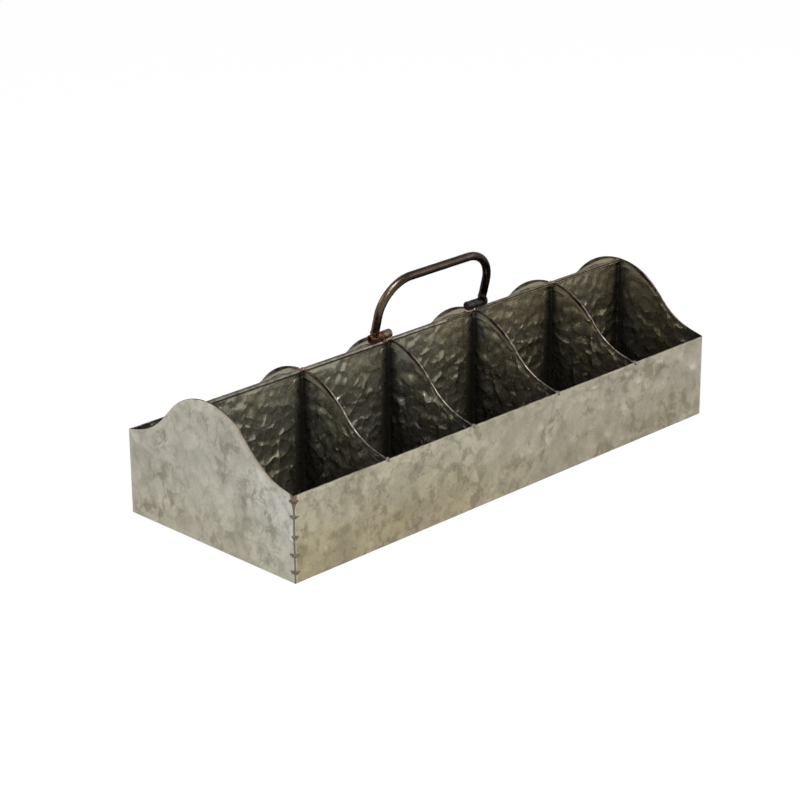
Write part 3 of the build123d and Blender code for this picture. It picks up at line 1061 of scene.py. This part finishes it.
def lumps(name, drops, material, voxel, seed):
    """Overlapping drops of weld metal melted into one skin."""
    skin_size = 1.6 * MM
    work = bmesh.new()
    for centre, radii in drops:
        matrix = Matrix.Translation(centre) @ Matrix.Diagonal((*radii, 1))
        bmesh.ops.create_icosphere(work, subdivisions=3, radius=1, matrix=matrix)
    mesh = bpy.data.meshes.new(name)
    work.to_mesh(mesh)
    work.free()
    piece = linked(name, mesh)
    remesh = piece.modifiers.new("melt", "REMESH")
    remesh.mode = "VOXEL"
    remesh.voxel_size = voxel
    smooth = piece.modifiers.new("smooth", "SMOOTH")
    smooth.iterations = 3
    evaluated = piece.evaluated_get(bpy.context.evaluated_depsgraph_get())
    melted = bpy.data.meshes.new_from_object(evaluated)
    bpy.data.objects.remove(piece)
    shift = Vector((seed, seed * 1.9, 0))
    for vertex in melted.vertices:
        vertex.co += vertex.normal * noise.noise(vertex.co / skin_size + shift) * voxel
    melted.materials.clear()
    melted.materials.append(material)
    return finished(name, melted, sharp=80)


def hinge_saddle_piece(side, name, start, end):
    """Drops under the fixed knuckle, and on both flanks of the rolled edge below it."""
    count = 7
    rng = np.random.default_rng(40 + side)
    drops = []
    for k in range(count):
        x = start + (end - start) * (k + 0.5) / count
        jitter = rng.uniform(-0.5, 0.5, 3) * MM
        z = hump_top + 0.2 * MM + jitter[2] * 0.6
        drops.append(drop(x + jitter[0], jitter[1], z, 1.5, 1.9, 1.5))
        for flank in (-1, 1):
            z = bead_height + 1.3 * MM + jitter[0]
            drops.append(drop(x + jitter[2], flank * 1.7 * MM, z, 1.2, 0.9, 1.1))
    return lumps(name, drops, solder, 0.3 * MM, side)


def add_hinge(side, name, swing_material, fixed_material):
    swing = [corner.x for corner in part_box(f"{name}_swing_knuckle")]
    fixed = [corner.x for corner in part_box(f"{name}_fixed_knuckle")]
    swing_tube = knuckle_piece(f"{name}_swing_tube", *swing, swing_material, side * 3.7, 0.3 * MM)
    add(swing_tube, "handle", "bail_bronze", f"{name}_swing_knuckle")
    fixed_tube = knuckle_piece(f"{name}_fixed_tube", *fixed, fixed_material, side * 8.1, 0.25 * MM)
    add(fixed_tube, "tray", "bail_bronze", f"{name}_fixed_knuckle")
    saddle = hinge_saddle_piece(side, f"{name}_saddle_weld", *fixed)
    add(saddle, "tray", "bail_bronze", f"{name}_knuckle_saddle")
    pin = frame["nodes"][f"{name}_hinge_pin"]
    pin.data.materials.clear()
    pin.data.materials.append(pin_steel)


def corner_tacks_piece():
    """Fans of drops across the two welded corners. A fan's rows give the distance from the corner, the rise
    and the height of each drop in millimetres."""
    fan = ((0.9, 0.0, 2.0), (1.9, -0.2, 1.9), (2.9, -0.3, 1.6), (3.9, -0.2, 1.1))
    rng = np.random.default_rng(7)
    drops = []
    for side in (-1, 1):
        x = side * half_length
        y = side * half_width
        inward = side * 0.3 * MM
        for share in tack_shares:
            z = wall_top * share + rng.uniform(-0.2, 0.6) * MM
            drops.append(drop(x - inward, y - inward, z - 0.4 * MM, 0.8, 0.8, 2.1))
            for distance, rise, tall in fan:
                along = side * distance * rng.uniform(0.85, 1.15) * MM
                height = z + (rise + rng.uniform(-0.2, 0.2)) * MM
                drops.append(drop(x - along, y, height, 1.1, 0.55, tall))
                drops.append(drop(x, y - along, height, 0.55, 1.1, tall))
    return lumps("corner_tacks", drops, weld, 0.3 * MM, 3)


def rim_tacks_piece():
    """Small tacks where the dividers meet the walls' rims."""
    drops = []
    for place in divider_places:
        for side in (-1, 1):
            inner = side * (half_width - sheet)
            outer = side * half_width
            inward = side * 1.3 * MM
            drops.append(drop(place, inner, wall_top, 2.1, 1.1, 0.8))
            drops.append(drop(place + 1.0 * MM, inner - inward, wall_top + 0.1 * MM, 1.3, 1.3, 0.8))
            drops.append(drop(place - 0.5 * MM, outer, wall_top - 1.0 * MM, 1.6, 0.35, 1.3))
            drops.append(drop(place + 1.2 * MM, outer, wall_top - 2.2 * MM, 0.9, 0.3, 0.9))
    return lumps("divider_tacks", drops, weld, 0.25 * MM, 5)


def crossing_solder_piece():
    """Drops of solder where the dividers cross the rolled edge."""
    rng = np.random.default_rng(17)
    drops = []
    for place in divider_places:
        for side in (-1, 1):
            for k in range(4):
                jitter = rng.uniform(-0.6, 0.6, 3) * MM
                x = place - 2.2 * MM + k * 1.5 * MM + jitter[0]
                drops.append(drop(x, side * 1.7 * MM, bead_height + 0.9 * MM + jitter[2], 1.2, 0.9, 1.1))
    return lumps("crossing_solder", drops, solder, 0.25 * MM, 9)


def add_button(work, centre, right, up, out):
    """A shallow dished button. Its rings are shares of its radius and rises in millimetres."""
    rings = ((0.0, 0.02), (0.45, 0.03), (0.75, 0.09), (0.9, 0.09), (1.0, 0.0))
    sides = 16
    rows = []
    for share, rise in rings:
        ring = []
        for k in range(1 if share == 0 else sides):
            angle = 2 * math.pi * k / sides
            reach = (right * math.cos(angle) + up * math.sin(angle)) * share * spot_radius
            ring.append(work.verts.new(centre + reach + out * rise * MM))
        rows.append(ring)
    for inner, outer in zip(rows, rows[1:]):
        for k in range(sides):
            after = (k + 1) % sides
            if len(inner) == 1:
                work.faces.new((inner[0], outer[k], outer[after]))
            else:
                work.faces.new((inner[k], outer[k], outer[after], inner[after]))
    work.faces.new(rows[-1][::-1])


def spot_welds_piece():
    """Buttons up the flanges of the dividers and of the spine."""
    along_x, along_y, up = Vector((1, 0, 0)), Vector((0, 1, 0)), Vector((0, 0, 1))
    count = int((flange_top - floor_top) / spot_pitch)
    work = bmesh.new()
    for step in range(count):
        z = flange_top - spot_pitch * (step + 0.5)
        for place in divider_places:
            for side in (-1, 1):
                centre = Vector((place - sheet / 2 - divider_flange / 2, side * 1.5 * sheet, z))
                add_button(work, centre, along_x, up, along_y * side)
        for side in (-1, 1):
            centre = Vector((side * (inner_length - sheet - fit_gap), -sheet / 2 - spine_flange / 2, z))
            add_button(work, centre, along_y, up, along_x * -side)
    mesh = bpy.data.meshes.new("flange_spots")
    work.to_mesh(mesh)
    work.free()
    # The buttons are near black as painted shade, like the flanges under them
    mesh.materials.append(dark_button)
    return finished("flange_spots", mesh)


add(floor_piece(), "tray", "galvanised_sheet", "floor_sheet")
add(shell_piece("front_right_sheet", -1, 11), "tray", "galvanised_sheet", "front_right_shell")
add(shell_piece("back_left_sheet", 1, 13), "tray", "galvanised_sheet", "back_left_shell")
spine = joined("spine", [spine_sheet_piece(), spine_bead_piece()])
add(spine, "tray", "hammered_sheet", "spine_panel", "spine_rim_wire")
for number, place in enumerate(divider_places, start=1):
    front = divider_piece(f"front_partition_{number}", place, -1, 30 + number)
    add(front, "tray", "hammered_sheet", f"front_divider_{number}")
    back = divider_piece(f"back_partition_{number}", place, 1, 40 + number)
    add(back, "tray", "hammered_sheet", f"back_divider_{number}")
add(corner_tacks_piece(), "tray", "weld_metal", "corner_weld_tacks")
add(rim_tacks_piece(), "tray", "weld_metal", "divider_weld_tacks")
add(crossing_solder_piece(), "tray", "weld_metal")
add(spot_welds_piece(), "tray", "weld_metal", "flange_spot_welds")
add(bail_piece(), "handle", "bail_bronze", "bail_rod")
add_hinge(-1, "left", red_knuckle, olive_knuckle)
add_hinge(1, "right", dark_knuckle, dark_knuckle)


# Camera, light and backdrop
def add_camera():
    camera = bpy.data.cameras.new("camera")
    camera.lens = camera_lens_mm
    camera.sensor_width = sensor_mm
    camera.clip_end = 20
    holder = linked("camera", camera)
    turn = Matrix.Rotation(camera_azimuth, 4, "Z") @ Matrix.Rotation(math.pi / 2 - camera_elevation, 4, "X")
    turn = turn @ Matrix.Rotation(camera_roll, 4, "Z")
    holder.matrix_world = Matrix.Translation(camera_place) @ turn
    bpy.context.scene.camera = holder


def add_lamp(name, place, size, power, target=(0, 0, 0.05)):
    lamp = bpy.data.lights.new(name, "AREA")
    lamp.shape = "RECTANGLE"
    lamp.size, lamp.size_y = size
    lamp.energy = power
    holder = linked(name, lamp)
    holder.location = place
    direction = Vector(target) - Vector(place)
    holder.rotation_euler = direction.to_track_quat("-Z", "Y").to_euler()


def plain_where_seen(tree, kind, lit, views):
    """Mixes plain white light over the lit shader for some kinds of rays: each view is a ray, a strength and
    a share."""
    nodes, links = tree.nodes, tree.links
    path = nodes.new("ShaderNodeLightPath")
    for ray, strength, share in views:
        plain = nodes.new(kind)
        plain.inputs["Color"].default_value = (1, 1, 1, 1)
        plain.inputs["Strength"].default_value = strength
        factor = nodes.new("ShaderNodeMath")
        factor.operation = "MULTIPLY"
        links.new(path.outputs[ray], factor.inputs[0])
        factor.inputs[1].default_value = share
        mix = nodes.new("ShaderNodeMixShader")
        links.new(factor.outputs[0], mix.inputs[0])
        links.new(lit, mix.inputs[1])
        links.new(plain.outputs[0], mix.inputs[2])
        lit = mix.outputs[0]
    return lit


def add_world():
    world = bpy.data.worlds.new("studio")
    bpy.context.scene.world = world
    world.use_nodes = True
    tree = world.node_tree
    lit = tree.nodes["Background"]
    lit.inputs["Color"].default_value = (1, 1, 1, 1)
    lit.inputs["Strength"].default_value = 0.35
    views = (("Is Glossy Ray", 0.5, 1.0), ("Is Camera Ray", 1.0, 1.0))
    seen = plain_where_seen(tree, "ShaderNodeBackground", lit.outputs[0], views)
    tree.links.new(seen, tree.nodes["World Output"].inputs["Surface"])


def add_floor():
    reach = 6.0
    below = 0.2 * MM
    mesh = bpy.data.meshes.new("studio_floor")
    corners = [(-reach, -reach, 0), (reach, -reach, 0), (reach, reach, 0), (-reach, reach, 0)]
    mesh.from_pydata(corners, [], [(0, 1, 2, 3)])
    material = bpy.data.materials.new("studio_floor")
    material.use_nodes = True
    tree = material.node_tree
    tree.nodes.remove(tree.nodes["Principled BSDF"])
    matte = tree.nodes.new("ShaderNodeBsdfDiffuse")
    matte.inputs["Color"].default_value = (0.85, 0.85, 0.85, 1)
    views = (("Is Glossy Ray", 0.4, 0.75), ("Is Camera Ray", 1.015, 0.95))
    seen = plain_where_seen(tree, "ShaderNodeEmission", matte.outputs[0], views)
    tree.links.new(seen, tree.nodes["Material Output"].inputs["Surface"])
    mesh.materials.append(material)
    floor = linked("studio_floor", mesh)
    floor.location.z = -below


add_camera()
add_world()
add_floor()
add_lamp("key", place=(-0.85, -0.75, 2.2), size=(1.1, 1.1), power=51)
add_lamp("fill", place=(1.5, -1.0, 1.3), size=(1.2, 1.2), power=8)
add_lamp("front_glints", place=(1.35, -1.35, 0.55), size=(0.8, 0.5), power=4.5)
add_lamp("back_glints", place=(-1.3, 1.3, 0.95), size=(0.9, 0.7), power=4.0)
add_lamp("near_glints", place=(-1.25, -1.35, 1.05), size=(0.3, 0.3), power=5.0, target=(0, 0, 0.1))
bpy.context.scene.view_settings.view_transform = "Standard"


def corners(box):
    return [[float(value) for value in corner] for corner in box]
